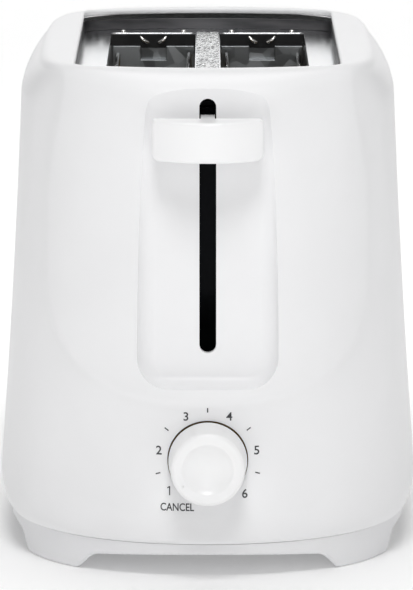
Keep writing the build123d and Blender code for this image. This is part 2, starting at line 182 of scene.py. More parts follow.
finishes = {
    # polished mould, polypropylene: soft clear gloss with a very slight ripple
    "mouldedPolypropylene": {"dark": "f1f1f2", "light": "f5f5f6", "toneSize": (60, 60, 60),
                             "roughness": (0.34, 0.40), "grainSize": (2.5, 2.5, 2.5), "grainDepth": 0.012,
                             "shader": {"IOR": 1.49, "Specular IOR Level": 0.45}},
    # the same plastic from a spark-eroded mould: satin, fine grain
    "satinPolypropylene": {"dark": "ececee", "light": "f1f1f2", "toneSize": (45, 45, 45),
                           "roughness": (0.48, 0.56), "grainSize": (0.6, 0.6, 0.6), "grainDepth": 0.02,
                           "shader": {"IOR": 1.49}},
    # touch parts in ABS, polished: a shade brighter and glossier
    "polishedAbs": {"dark": "f7f7f8", "light": "f9f9f9", "toneSize": (60, 60, 60),
                    "roughness": (0.29, 0.31), "grainSize": (1.8, 1.8, 1.8), "grainDepth": 0.008,
                    "shader": {"IOR": 1.53}},
    # bright rolled steel sheet: mirror-like with fine lines along the roll
    "brightRolledSteel": {"metallic": 1, "dark": "d2d4d6", "light": "eeeff0", "toneSize": (3, 70, 3),
                          "roughness": (0.14, 0.24), "grainSize": (0.5, 30, 0.5), "grainDepth": 0.012},
    # crumpled bright foil over the heater between the slots
    "crumpledFoil": {"metallic": 1, "dark": "d9dbdd", "light": "fbfbfb", "toneSize": (2.5, 2.5, 2.5),
                     "roughness": (0.16, 0.3), "grainSize": (1.3, 1.6, 1.3), "grainDepth": 0.35, "bump": 0.8},
    # phosphated steel liner: dull dark grey with faint handling streaks
    "phosphatedSteel": {"metallic": 0.75, "dark": "474749", "light": "69686a", "toneSize": (26, 9, 4),
                        "roughness": (0.36, 0.52), "grainSize": (4, 0.6, 0.6), "grainDepth": 0.02},
    # hot-dip galvanised sheet: faceted grey spangle
    "galvanisedSheet": {"metallic": 1, "dark": "8e9193", "light": "b9bcbe", "toneSize": (7, 7, 7),
                        "crystals": True, "toneLow": 0, "toneHigh": 1, "roughness": (0.3, 0.46),
                        "grainSize": (0.8, 0.8, 0.8), "grainDepth": 0.01},
    # aluminised reflector sheet: pale with soft smears
    "aluminisedSheet": {"metallic": 1, "dark": "8e9092", "light": "b2b4b6", "toneSize": (8, 30, 14),
                        "roughness": (0.26, 0.4), "grainSize": (0.7, 18, 0.7), "grainDepth": 0.01},
    # bright nickel plate: sharp glints
    "nickelPlate": {"metallic": 1, "dark": "d8d6d2", "light": "efedea", "toneSize": (5, 5, 5),
                    "roughness": (0.08, 0.16), "grainSize": (0.4, 0.4, 0.4), "grainDepth": 0.005},
    # zinc plate: cool grey, slightly cloudy
    "zincPlate": {"metallic": 1, "dark": "9a9da2", "light": "bcc0c4", "toneSize": (4, 4, 4),
                  "roughness": (0.24, 0.38), "grainSize": (0.3, 0.3, 0.3), "grainDepth": 0.008},
    # nearly black sheet with a steel sheen: painted shade, so the lever slot shows dark
    "slotShadeSteel": {"metallic": 0.9, "dark": "17181a", "light": "26272b", "toneSize": (9, 9, 14),
                   "roughness": (0.3, 0.44), "grainSize": (0.6, 0.6, 6), "grainDepth": 0.01},
    # baked heat-proof enamel: black, faint sheen
    "heatProofEnamel": {"dark": "0c0c0d", "light": "171718", "toneSize": (6, 6, 6),
                        "roughness": (0.3, 0.42), "grainSize": (0.5, 0.5, 0.5), "grainDepth": 0.02},
    # pressed mica sheet: silvery brown flakes in layers
    "pressedMica": {"dark": "9c8560", "light": "c9b893", "toneSize": (4, 7, 7), "crystals": True,
                    "toneLow": 0, "toneHigh": 1, "roughness": (0.3, 0.5), "grainSize": (1, 2, 2),
                    "grainDepth": 0.04, "shader": {"Sheen Weight": 0.15}},
    # oxidised nichrome ribbon: blue-grey to straw bands
    "oxidisedNichrome": {"metallic": 1, "dark": "5a5754", "light": "8d8173", "toneSize": (9, 3, 3),
                         "roughness": (0.34, 0.5), "grainSize": (0.4, 0.4, 0.4), "grainDepth": 0.01},
    # cast nylon: milky, satin
    "naturalNylon": {"dark": "dad8cd", "light": "e8e6dc", "toneSize": (8, 8, 8),
                     "roughness": (0.4, 0.5), "grainSize": (0.5, 0.5, 0.5), "grainDepth": 0.015},
    # phenolic moulding: near black, matt
    "phenolicMoulding": {"dark": "131212", "light": "201f1e", "toneSize": (3, 3, 3),
                         "roughness": (0.45, 0.6), "grainSize": (0.3, 0.3, 0.3), "grainDepth": 0.02},
    # enamelled copper winding: deep orange, the turns show as fine ridges
    "enamelledCopper": {"metallic": 0.6, "dark": "7c3d17", "light": "b4642a", "toneSize": (8, 8, 0.8),
                        "roughness": (0.22, 0.34), "grainSize": (20, 20, 0.45), "grainDepth": 0.12,
                        "bump": 0.9},
    # rolled brass strip: warm, fine lines
    "rolledBrass": {"metallic": 1, "dark": "b08b45", "light": "d3ad62", "toneSize": (2, 2, 14),
                    "roughness": (0.2, 0.34), "grainSize": (0.3, 0.3, 8), "grainDepth": 0.01},
    # paper phenolic board: brown with pressed fibres
    "paperLaminate": {"dark": "8a6331", "light": "a67c43", "toneSize": (1.5, 1.5, 6),
                      "roughness": (0.4, 0.55), "grainSize": (0.3, 0.3, 1.5), "grainDepth": 0.02},
    # glass-filled relay case: flat blue
    "relayCase": {"dark": "173a6e", "light": "1f4a86", "toneSize": (5, 5, 5),
                  "roughness": (0.28, 0.38), "grainSize": (0.3, 0.3, 0.3), "grainDepth": 0.01},
    # shrink sleeve on the capacitor: dark, glossy
    "shrinkSleeve": {"dark": "10141c", "light": "1a202c", "toneSize": (5, 5, 5),
                     "roughness": (0.18, 0.28), "grainSize": (1, 1, 1), "grainDepth": 0.01},
    # pad-printed ink: dark grey, slightly uneven film
    "padPrintInk": {"dark": "303032", "light": "434346", "toneSize": (0.8, 0.8, 0.8),
                    "roughness": (0.5, 0.6), "grainSize": (0.2, 0.2, 0.2), "grainDepth": 0.004},
}
materials = {name: makeMaterial(name, finish) for name, finish in finishes.items()}

slotFinish = {
    "white_shell": "mouldedPolypropylene", "white_base": "satinPolypropylene",
    "white_trim": "mouldedPolypropylene", "white_gland": "satinPolypropylene",
    "white_knob": "polishedAbs", "white_dial": "polishedAbs", "white_nylon": "naturalNylon",
    "tray_steel": "galvanisedSheet", "chassis_steel": "galvanisedSheet",
    "reflector_steel": "aluminisedSheet", "top_steel": "brightRolledSteel",
    "liner_steel": "phosphatedSteel", "rivet_steel": "nickelPlate", "black_steel": "heatProofEnamel",
    "mica": "pressedMica", "heater_ribbon": "oxidisedNichrome", "guard_wire": "nickelPlate",
    "armature_steel": "zincPlate", "rod_steel": "nickelPlate", "spring_steel": "zincPlate",
    "coil_wire": "enamelledCopper", "black_plastic": "phenolicMoulding", "contact_brass": "rolledBrass",
    "board_laminate": "paperLaminate", "relay_plastic": "relayCase", "capacitor_can": "shrinkSleeve",
    "screw_steel": "zincPlate",
}


def paint(piece, name):
    piece.data.materials.clear()
    piece.data.materials.append(materials[name])


# these three parts are galvanised steel; seen through the lever slot they get a nearly black finish as
# painted shade
nodeFinish = {"front_end_plate": "slotShadeSteel", "carriage_plate": "slotShadeSteel", "top_bracket": "slotShadeSteel"}

for part in frame["record"]["subparts"]:
    finish = nodeFinish.get(part["node"], slotFinish[part["material_slot"]])
    for slot in nodes[part["node"]].material_slots:
        slot.material = materials[finish]
print("materials made:", len(materials))


def stagedSheet(name, corners, materialName):
    # a flat sheet that isn't part of the toaster, with a white material that can glow
    mesh = bpy.data.meshes.new(name)
    mesh.from_pydata(corners, [], [(0, 1, 2, 3)])
    sheet = bpy.data.objects.new(name, mesh)
    bpy.context.scene.collection.objects.link(sheet)
    material = bpy.data.materials.new(materialName)
    material.use_nodes = True
    shader = material.node_tree.nodes["Principled BSDF"]
    shader.inputs["Emission Color"].default_value = (1, 1, 1, 1)
    mesh.materials.append(material)
    return material.node_tree, shader


def makeFloor():
    # a pale sweep with painted light: its glow is faint round the toaster and grows away from it, so the
    # floor close by stays darker
    reach = studio["floorReach"]
    corners = [(-reach, -reach, 0), (reach, -reach, 0), (reach, reach, 0), (-reach, reach, 0)]
    tree, shader = stagedSheet("floor", corners, "glowingPaperSweep")
    shader.inputs["Base Color"].default_value = fromHex(studio["floorColour"])
    shader.inputs["Roughness"].default_value = 0.85
    place = addNode(tree, "ShaderNodeTexCoord").outputs["Object"]
    far = addNode(tree, "ShaderNodeVectorMath", {0: place}, operation="LENGTH").outputs["Value"]
    inner, outer = studio["glowRadii"]
    glow = addNode(tree, "ShaderNodeMapRange", {"Value": far, "From Min": inner, "From Max": outer,
                                                "To Min": studio["nearGlow"],
                                                "To Max": studio["floorGlow"]},
                   interpolation_type="SMOOTHSTEP")
    tree.links.new(glow.outputs[0], shader.inputs["Emission Strength"])


def makeCard():
    # a glowing white card behind the toaster, out of view
    far, half, low, high = studio["card"]
    corners = [(-half, far, low), (half, far, low), (half, far, high), (-half, far, high)]
    shader = stagedSheet("card", corners, "glowingCard")[1]
    shader.inputs["Emission Strength"].default_value = studio["cardGlow"]


def makeWorld():
    world = bpy.data.worlds.new("studio")
    bpy.context.scene.world = world
    world.use_nodes = True
    tree = world.node_tree
    grey, white = studio["worldGrey"], studio["paperWhite"]
    path = addNode(tree, "ShaderNodeLightPath").outputs["Is Camera Ray"]
    strength = addNode(tree, "ShaderNodeMapRange", {"Value": path, "To Min": grey, "To Max": white})
    tree.nodes["Background"].inputs["Color"].default_value = (1, 1, 1, 1)
    tree.links.new(strength.outputs[0], tree.nodes["Background"].inputs["Strength"])
    bpy.context.scene.view_settings.view_transform = "Standard"


makeCamera()
makeFloor()
makeCard()
makeWorld()
for name, values in studio["lights"].items():
    makeLight(name, *values)
print("camera and lights placed")


# mesh helpers

def newPiece(name, points, faces):
    # points in millimetres about the moulded body's middle
    mesh = bpy.data.meshes.new(name)
    places = (np.asarray(points, float) + (0, middleY, 0)) * mm
    mesh.from_pydata(places.tolist(), [], faces)
    mesh.update()
    piece = bpy.data.objects.new(name, mesh)
    bpy.context.scene.collection.objects.link(piece)
    return piece


def gridFaces(rows, columns, closed):
    # quads over a grid whose columns run round the piece, its rows too when closed
    faces = []
    for i in range(rows if closed else rows - 1):
        for j in range(columns):
            i2, j2 = (i + 1) % rows, (j + 1) % columns
            faces.append((i * columns + j, i * columns + j2, i2 * columns + j2, i2 * columns + j))
    return faces


def stackPiece(name, rings):
    # a closed solid from a stack of equal rings, capped at both ends
    rings = np.asarray(rings, float)
    rows, columns = rings.shape[:2]
    faces = gridFaces(rows, columns, False)
    faces.append(tuple(reversed(range(columns))))
    faces.append(tuple(range((rows - 1) * columns, rows * columns)))
    piece = newPiece(name, rings.reshape(-1, 3), faces)
    facesOut(piece.data)
    return piece


def facesOut(mesh):
    work = bmesh.new()
    work.from_mesh(mesh)
    bmesh.ops.recalc_face_normals(work, faces=work.faces)
    work.to_mesh(mesh)
    work.free()


def settle(piece):
    # turns the evaluated result into the piece's own plain mesh
    depsgraph = bpy.context.evaluated_depsgraph_get()
    mesh = bpy.data.meshes.new_from_object(piece.evaluated_get(depsgraph))
    piece.modifiers.clear()
    piece.data = mesh
    return piece


def smoothFaces(piece, sharpAngle):
    mesh = piece.data
    mesh.polygons.foreach_set("use_smooth", [True] * len(mesh.polygons))
    mesh.set_sharp_from_angle(angle=math.radians(sharpAngle))
    weighted = piece.modifiers.new("weighted", "WEIGHTED_NORMAL")
    weighted.keep_sharp = True
    settle(piece)


def cutOut(piece, cutter):
    cut = piece.modifiers.new("cut", "BOOLEAN")
    cut.operation = "DIFFERENCE"
    cut.solver = "EXACT"
    cut.object = cutter
    settle(piece)
    bpy.data.objects.remove(cutter)


def joined(name, parts):
    bpy.ops.object.select_all(action="DESELECT")
    for part in parts:
        part.select_set(True)
    bpy.context.view_layer.objects.active = parts[0]
    bpy.ops.object.join()
    parts[0].name = name
    return parts[0]


def softened(node, name, width, slotName, body, angle=30, segments=3):
    # a copy of a CAD node with its edges rounded, which stands for it
    mesh = nodes[node].data.copy()
    work = bmesh.new()
    work.from_mesh(mesh)
    bmesh.ops.remove_doubles(work, verts=work.verts, dist=0.00001)
    bmesh.ops.dissolve_limit(work, angle_limit=math.radians(1.5), verts=work.verts, edges=work.edges)
    bmesh.ops.recalc_face_normals(work, faces=work.faces)
    work.to_mesh(mesh)
    work.free()
    piece = bpy.data.objects.new(name, mesh)
    bpy.context.scene.collection.objects.link(piece)
    bevel = piece.modifiers.new("bevel", "BEVEL")
    bevel.width = width * mm
    bevel.segments = segments
    bevel.limit_method = "ANGLE"
    bevel.angle_limit = math.radians(angle)
    bevel.use_clamp_overlap = True
    settle(piece)
    smoothFaces(piece, 35)
    finishPiece(piece, slotFinish[slotName], slotName, body, node)
    return piece


def finishPiece(piece, material, slotName, body, *replaced):
    paint(piece, material)
    if body:
        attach(piece, body)
    if replaced:
        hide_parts(*replaced)


def ease(value, low, high):
    t = np.clip((value - low) / (high - low), 0, 1)
    return t * t * (3 - 2 * t)


# moulded shell

shellShape = {
    "halfLength": 130.6, "halfWidth": 84.75, "sizeHeight": 33,  # widest a little above the bottom
    "endLean": 0.0701, "sideLean": 0.06688, "endBow": 0.000055, "sideBow": 0.0001208, "bowHeight": 110,
    "tuckHeight": 30, "tuckDeep": 15.7, "endTuck": 2.3, "sideTuck": 3.9,
    "bottom": 14.3, "shoulder": 184, "top": 199.5,
    "topHalfLength": 101.5, "topHalfWidth": 62,
    "sidePower": 2.0, "endPower": 3.7, "topSidePower": 2.6, "topEndPower": 7.0,
    "wall": 2.5, "lipRadius": 1.25,
    "bottomRadius": 0.8, "reliefEnds": (197, 199.4),
    "columnsPerQuarter": 110, "wallRows": 104, "shoulderRows": 18, "innerRows": 34,
}
relief = {
    # the raised inner panel, a U seen from the lever end
    "innerHalfWidth": 63.8, "innerTopHalfWidth": 64.5, "innerCornerIn": 7.0, "innerBottom": 70,
    "innerCurveFrom": 118, "innerPower": 2.5, "cornerY": 90, "topTurn": (146, 198),
    # the outer crease
    "outerHalfWidth": 74.4, "outerNarrow": 5.0, "outerBottom": 25, "outerCurveFrom": 106, "outerPower": 3.4,
    "narrowTurn": (106, 176), "upperCorner": 3, "leastWidth": 4,
    "depthShare": 0.1, "deepest": 2.1, "creaseSoftness": 0.6,
    "lipHeight": 0.7, "lipReach": 4.0, "lipOutside": 2.5, "lipEnds": (90, 110),
}
opening = {"halfWidth": 52.7, "halfLength": 97.5, "corner": 9.0, "cornerY": 82.0, "cornerTurn": 73.3}


def bodySize(z):
    # half length, half width and the two powers of the outline at a height
    s = shellShape
    z = np.asarray(z, float)
    up = z - s["sizeHeight"]
    bow = up * (z - s["bowHeight"])
    tuck = np.clip((s["tuckHeight"] - z) / s["tuckDeep"], 0, None) ** 2.2
    length = s["halfLength"] - s["endLean"] * up - s["endBow"] * bow - s["endTuck"] * tuck
    width = s["halfWidth"] - s["sideLean"] * up + s["sideBow"] * bow - s["sideTuck"] * tuck
    rise = np.clip((z - s["shoulder"]) / (s["top"] - s["shoulder"]), 0, 1)
    turn = 1 - np.sqrt(1 - rise ** 2)
    length = length + (s["topHalfLength"] - length) * turn
    width = width + (s["topHalfWidth"] - width) * turn
    xPower = s["sidePower"] + (s["topSidePower"] - s["sidePower"]) * turn
    yPower = s["endPower"] + (s["topEndPower"] - s["endPower"]) * turn
    return length, width, xPower, yPower


def quarterStops():
    # where the columns stand on a quarter outline, closer together at the ends
    fine = np.linspace(0, 1, 4000)
    length, width, xPower, yPower = bodySize(110)
    turn = math.pi / 2 * fine ** 1.85
    x = width * np.cos(turn) ** (2 / xPower)
    y = length * np.sin(turn) ** (2 / yPower)
    step = np.hypot(np.diff(x), np.diff(y)) * (1 + ease(y[1:] / length, 0.6, 0.9))
    run = np.concatenate(([0], np.cumsum(step)))
    wanted = np.linspace(0, run[-1], shellShape["columnsPerQuarter"] + 1)
    return math.pi / 2 * np.interp(wanted, run, fine) ** 1.85


stops = quarterStops()


def outline(length, width, xPower, yPower):
    x = width * np.clip(np.cos(stops), 0, 1) ** (2 / xPower)
    y = length * np.sin(stops) ** (2 / yPower)
    x[-1] = 0
    back = slice(-1, 0, -1)
    xs = np.concatenate((x[:-1], -x[back], -x[:-1], x[back]))
    ys = np.concatenate((y[:-1], y[back], -y[:-1], -y[back]))
    return np.stack((xs, ys), 1)


def openingLine(grow, angles):
    # the rim's outline at each direction from the middle
    o = opening
    halfWidth = o["halfWidth"] + grow
    corner = o["corner"] + grow
    centreX = halfWidth - corner
    tip = o["halfLength"] + grow
    end = math.radians(o["cornerTurn"])
    cornerEnd = (centreX + corner * math.cos(end), o["cornerY"] + corner * math.sin(end))
    drop = tip - cornerEnd[1]
    bowRadius = (cornerEnd[0] ** 2 + drop ** 2) / (2 * drop)
    side = np.stack((np.full(60, halfWidth), np.linspace(0, o["cornerY"], 60)), 1)
    turn = np.linspace(0, end, 40)
    bend = np.stack((centreX + corner * np.cos(turn), o["cornerY"] + corner * np.sin(turn)), 1)
    bowX = np.linspace(cornerEnd[0], 0, 60)
    bow = np.stack((bowX, tip - bowRadius + np.sqrt(bowRadius ** 2 - bowX ** 2)), 1)
    line = np.concatenate((side, bend[1:], bow[1:]))
    directions = np.arctan2(line[:, 1], line[:, 0])
    reach = np.hypot(line[:, 0], line[:, 1])
    quarter = np.arctan2(np.abs(np.sin(angles)), np.abs(np.cos(angles)))
    far = np.interp(quarter, directions, reach)
    return np.stack((far * np.cos(angles), far * np.sin(angles)), 1)


def uDistance(x, z, halfWidth, curveFrom, bottom, power):
    # distance outside a U-shaped line, negative inside
    drop = np.clip(curveFrom - z, 0, None)
    level = (np.abs(x / halfWidth) ** power + (drop / (curveFrom - bottom)) ** power) ** (1 / power)
    return np.hypot(x, drop) * (1 - 1 / np.maximum(level, 0.05))


def reliefDepth(x, y, z):
    # how far the surface sinks below the plain body, for the band between the two creases
    r = relief
    cornerIn = r["innerCornerIn"] * np.clip(np.abs(y) / r["cornerY"], 0, 1.1) ** 2
    topWidth = r["innerTopHalfWidth"] - cornerIn
    innerWidth = r["innerHalfWidth"] + (topWidth - r["innerHalfWidth"]) * ease(z, *r["topTurn"])
    outerWidth = r["outerHalfWidth"] - r["outerNarrow"] * ease(z, *r["narrowTurn"])
    inner = uDistance(x, z, innerWidth, r["innerCurveFrom"], r["innerBottom"], r["innerPower"])
    outer = -uDistance(x, z, outerWidth, r["outerCurveFrom"], r["outerBottom"], r["outerPower"])
    above = z - shellShape["shoulder"]
    gap = outer - above
    outer = (outer + above + np.sqrt(gap ** 2 + r["upperCorner"] ** 2)) / 2  # a rounded upper corner
    width = np.maximum(inner + outer, r["leastWidth"])
    share = inner / width
    soft = (r["creaseSoftness"] / width) ** 2
    rise = (share + np.sqrt(share ** 2 + soft)) / 2
    fall = (1 - share + np.sqrt((1 - share) ** 2 + soft)) / 2
    deep = np.minimum(r["depthShare"] * width, r["deepest"])
    dip = deep * 4 * rise * fall * (share > -1) * (share < 2)
    reach = np.where(inner < 0, r["lipReach"], r["lipOutside"])
    lip = r["lipHeight"] * np.exp(-(inner / reach) ** 2) * (1 - ease(z, *r["lipEnds"]))
    return dip - lip


def shellRows():
    s = shellShape
    wallZ = np.linspace(s["bottom"], s["shoulder"], s["wallRows"], endpoint=False)
    turn = np.linspace(0, math.pi / 2, s["shoulderRows"] + 1)
    shoulderZ = s["shoulder"] + (s["top"] - s["shoulder"]) * np.sin(turn)
    rows = []
    for z in np.concatenate((wallZ, shoulderZ)):
        ring = outline(*(float(v) for v in bodySize(z)))
        rows.append(np.column_stack((ring, np.full(len(ring), z))))
    outer = np.array(rows)
    around = np.roll(outer, -1, 1) - np.roll(outer, 1, 1)
    upward = np.gradient(outer, axis=0)
    normal = np.cross(around, upward)
    normal /= np.linalg.norm(normal, axis=2, keepdims=True)
    depth = reliefDepth(outer[..., 0], outer[..., 1], outer[..., 2])
    outer = outer - normal * (depth * (1 - ease(outer[..., 2], *s["reliefEnds"])))[..., None]
    shrink = 1 - s["bottomRadius"] / s["halfLength"]
    edge = outer[0] * (shrink, shrink, 0) + (0, 0, s["bottom"])
    outer[0, :, 2] += s["bottomRadius"]
    rim = rows[-1][:, :2]
    angles = np.arctan2(rim[:, 1], rim[:, 0])
    top = []
    lipOuter = openingLine(s["lipRadius"], angles)
    for share in np.linspace(0, 1, 6)[1:]:
        ring = rim + (lipOuter - rim) * share
        top.append(np.column_stack((ring, np.full(len(ring), s["top"]))))
    for turn in np.linspace(0, math.pi, 8)[1:]:
        ring = openingLine(s["lipRadius"] * (1 - math.sin(turn)), angles)
        height = s["top"] - s["lipRadius"] * (1 - math.cos(turn))
        top.append(np.column_stack((ring, np.full(len(ring), height))))
    inner = []
    innerTurn = np.linspace(math.pi / 2, 0, 8)
    innerZ = np.concatenate((s["shoulder"] + (s["top"] - s["shoulder"]) * np.sin(innerTurn),
                             np.linspace(s["shoulder"], s["bottom"], s["innerRows"])[1:]))
    for z in innerZ:
        length, width, xPower, yPower = (float(v) for v in bodySize(z))
        ring = outline(length - s["wall"], width - s["wall"], xPower, yPower)
        level = z - s["wall"] * max(0, z - s["shoulder"]) / (s["top"] - s["shoulder"])
        inner.append(np.column_stack((ring, np.full(len(ring), level))))
    inner = np.array(inner)
    behind = channel["floorY"] + s["wall"] + (inner[..., 2] - channel["bottom"]) * channel["lean"]
    pull = 1 - ease(np.abs(inner[..., 0]), *channel["wallAcross"])
    pull = pull * ease(inner[..., 2], *channel["wallUp"])
    pushed = np.maximum(inner[..., 1], behind)
    inner[..., 1] += (pushed - inner[..., 1]) * pull
    return np.concatenate(([edge], outer, np.array(top), inner))


# lever channel and the shell's other openings

channel = {"halfWidth": 27.8, "bottom": 76, "corner": 12, "cove": 7, "lowCove": 3.5, "floorY": -115.6,
           "lean": math.tan(math.radians(0.3)), "frontY": -160, "open": 215,
           "wallAcross": (31.5, 36), "wallUp": (68, 73)}  # where the wall behind the channel eases back
dialLow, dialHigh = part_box("browning_dial")
dialMiddle = (dialLow.z + dialHigh.z) / 2 / mm
holes = {"leverHalfWidth": 3.3, "leverLow": 88.5, "leverHigh": 189.5,
         "dialZ": dialMiddle, "dialRadius": 15.9, "glandRadius": 6.2,
         "trayHalfWidth": 51.6, "trayTop": 25.1,
         "leverCut": (-135, -105), "dialCut": (-140, -115), "glandCut": (118, 140), "trayCut": (100, 140)}


def channelRing(inset, y):
    c = channel
    half = c["halfWidth"] - inset
    radius = c["corner"] - inset
    turn = np.linspace(math.pi, 1.5 * math.pi, 13)
    low = c["bottom"] + inset * c["lowCove"] / c["cove"]
    left = [(-half + radius + radius * math.cos(t), low + radius + radius * math.sin(t)) for t in turn]
    line = [(-half, c["open"])] + left + [(-x, z) for x, z in reversed(left)] + [(half, c["open"])]
    return [(x, y + (z - c["bottom"]) * c["lean"], z) for x, z in line]


def channelCutter():
    c = channel
    rings = [channelRing(0, c["frontY"]), channelRing(0, c["floorY"] - c["cove"])]
    for turn in np.linspace(0, math.pi / 2, 11)[1:]:
        inset = c["cove"] * (1 - math.cos(turn))
        rings.append(channelRing(inset, c["floorY"] - c["cove"] * (1 - math.sin(turn))))
    return stackPiece("channelCutter", rings)


def roundCutter(name, z, radius, cut, sides):
    turn = np.linspace(0, 2 * math.pi, sides, endpoint=False)
    return stackPiece(name, [[(radius * math.cos(t), y, z + radius * math.sin(t)) for t in turn]
                             for y in cut])


def holeCutter():
    h = holes
    turn = np.linspace(0, math.pi, 17)
    half = h["leverHalfWidth"]
    upper = [(half * math.cos(t), h["leverHigh"] - half + half * math.sin(t)) for t in turn]
    lower = [(-half * math.cos(t), h["leverLow"] + half - half * math.sin(t)) for t in turn]
    lever = stackPiece("leverCutter", [[(x, y, z) for x, z in upper + lower] for y in h["leverCut"]])
    dial = roundCutter("dialCutter", h["dialZ"], h["dialRadius"], h["dialCut"], 128)
    gland = roundCutter("glandCutter", h["dialZ"], h["glandRadius"], h["glandCut"], 64)
    across, top = h["trayHalfWidth"], h["trayTop"]
    mouth = ((-across, 0), (across, 0), (across, top), (-across, top))
    tray = stackPiece("trayCutter", [[(x, y, z) for x, z in mouth] for y in h["trayCut"]])
    return joined("holeCutter", [lever, dial, gland, tray])


def makeShell():
    rows = shellRows()
    count, columns = rows.shape[:2]
    shell = newPiece("mouldedShell", rows.reshape(-1, 3), gridFaces(count, columns, True))
    facesOut(shell.data)
    cutOut(shell, channelCutter())
    cutOut(shell, holeCutter())
    smoothFaces(shell, 28)
    finishPiece(shell, "mouldedPolypropylene", "white_shell", "chassis", "outer_shell")
    return shell


shell = makeShell()
print("shell made:", len(shell.data.polygons), "faces")


# base with its feet

baseShape = {
    "topHalfLength": 128.6, "topHalfWidth": 81.2, "flareEnd": 3.4, "flareSide": 0.6,  # wider at the top
    "underside": 9.5, "archDrop": 2.9, "archHalfSpan": 50, "archY": (60, 90),
    "footX": (42, 53.5), "footY": (71, 81),
    "rimTop": 20, "flareTop": 14.0, "rim": 3, "floor": 12.5, "edgeRadius": 1.4, "counterbore": 3.6,
    "ledge": 1.6, "ledgeUp": 0.6, "rimInset": 2.4, "screwHead": 3.2,
    "floorInsets": (70, 62, 56, 52, 48, 44.5, 41, 38, 35, 32.5, 30, 27.5, 25, 22.5, 20, 17.5, 15, 12.5,
                    10, 8, 6, 4.5, 3),
}


def footHeight(x, y):
    # zero under the four corner feet; elsewhere an arch that droops a little towards them
    b = baseShape
    x, y = np.abs(x), np.abs(y)
    foot = ease(x, *b["footX"]) ** 2 * ease(y, *b["footY"]) ** 2
    droop = b["archDrop"] * np.clip(x / b["archHalfSpan"], 0, 1) ** 2 * ease(y, *b["archY"])
    return (b["underside"] - droop) * (1 - foot)


def baseRing(inset, z):
    # the base's outline at a height, narrower towards the ground
    b = baseShape
    drop = np.clip(1 - z / b["flareTop"], 0, 1)
    ring = outline(b["topHalfLength"] - inset, b["topHalfWidth"] - inset, 2.0, 3.7)
    narrow = np.stack((1 - b["flareSide"] / b["topHalfWidth"] * drop,
                       1 - b["flareEnd"] / b["topHalfLength"] * drop), -1)
    return ring * narrow


def screwCutter():
    # the counterbores under the two rear screws
    low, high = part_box("base_screws")
    screwX = (high.x - low.x) / 2 / mm - baseShape["screwHead"]
    screwY = high.y / mm - middleY - baseShape["screwHead"]
    radius = baseShape["counterbore"]
    turn = np.linspace(0, 2 * math.pi, 40, endpoint=False)
    cutters = []
    for x in (-screwX, screwX):
        ring = [(x + radius * math.cos(t), screwY + radius * math.sin(t)) for t in turn]
        cutters.append(stackPiece("screwCutter", [[(px, py, z) for px, py in ring]
                                                  for z in (-1, baseShape["underside"])]))
    return joined("screwCutter", cutters)


def makeBase():
    b = baseShape
    rows = []
    for inset in b["floorInsets"]:
        ring = baseRing(inset, 0)
        rows.append(np.column_stack((ring, footHeight(ring[:, 0], ring[:, 1]))))
    edge = baseRing(0, 0)
    foot = footHeight(edge[:, 0], edge[:, 1])
    for turn in np.linspace(0, math.pi / 2, 6):
        height = foot + b["edgeRadius"] * (1 - math.cos(turn))
        ring = baseRing(b["edgeRadius"] * (1 - math.sin(turn)), height)
        rows.append(np.column_stack((ring, height)))
    low = foot + b["edgeRadius"]
    for share in (0.1, 0.3, 0.5, 0.7, 1):
        height = low + (b["flareTop"] - low) * share
        rows.append(np.column_stack((baseRing(0, height), height)))
    wallInset = b["rimInset"] + b["rim"]
    for inset, z in ((b["ledge"], b["flareTop"] + b["ledgeUp"]), (b["rimInset"], b["rimTop"]),
                     (wallInset, b["rimTop"]), (wallInset, b["floor"])):
        ring = baseRing(inset, b["rimTop"])
        rows.append(np.column_stack((ring, np.full(len(ring), z))))
    base = stackPiece("mouldedBase", rows)
    cutOut(base, screwCutter())
    smoothFaces(base, 35)
    finishPiece(base, "satinPolypropylene", "white_base", "chassis", "base_tray")


makeBase()
print("base made")


# lever knob

knobShape = {"bow": 9.5, "lowerCorner": 3.0, "upperCorner": 1.6, "edge": 1.0, "tabHalfWidth": 2.75,
             "tabBottomUp": 2.4, "tabTopDown": 0.2, "tabInner": -110, "back": -121.5,
             "frontShare": 0.86, "cornerSteps": 8, "longSteps": 24}


def knobRing(inset, share, shape):
    # the outline from the front, each point a share of the way from the back to the bowed front
    k = knobShape
    half, low, high = shape["half"] - inset, shape["low"] + inset, shape["high"] - inset
    ring = []
    corners = ((half, low, k["lowerCorner"], -90), (half, high, k["upperCorner"], 0),
               (-half, high, k["upperCorner"], 90), (-half, low, k["lowerCorner"], 180))
    for x, z, radius, start in corners:
        radius = max(radius - inset, 0.2)
        centreX, centreZ = x - math.copysign(radius, x), z + (radius if z == low else -radius)
        for step in range(k["cornerSteps"] + 1):
            turn = math.radians(start + step * 90 / k["cornerSteps"])
            ring.append((centreX + radius * math.cos(turn), centreZ + radius * math.sin(turn)))
    places = []
    for (x0, z0), (x1, z1) in zip(ring, ring[1:] + ring[:1]):
        count = k["longSteps"] if abs(x1 - x0) > half else 1
        for i in range(count):
            x, z = x0 + (x1 - x0) * i / count, z0 + (z1 - z0) * i / count
            front = shape["front"] + k["bow"] * (x / shape["half"]) ** 2
            places.append((x, k["back"] + (front - k["back"]) * share, z))
    return places


def knobRings(shape):
    k = knobShape
    depth = k["back"] - shape["front"]
    rings = []
    for turn in np.linspace(0, math.pi / 2, 6)[:-1]:
        rise = k["edge"] * (1 - math.cos(turn)) / depth * 0.5
        rings.append(knobRing(k["edge"] * (1 - math.sin(turn)), rise, shape))
    for share in (0.1, 0.5, k["frontShare"]):
        rings.append(knobRing(0, share, shape))
    for turn in np.linspace(0, math.pi / 2, 7)[1:]:
        share = k["frontShare"] + (1 - k["frontShare"]) * math.sin(turn)
        rings.append(knobRing(k["edge"] * (1 - math.cos(turn)), share, shape))
    for inset in (1.6, 2.3, 3.0):
        rings.append(knobRing(inset, 1, shape))
    return np.array(rings)


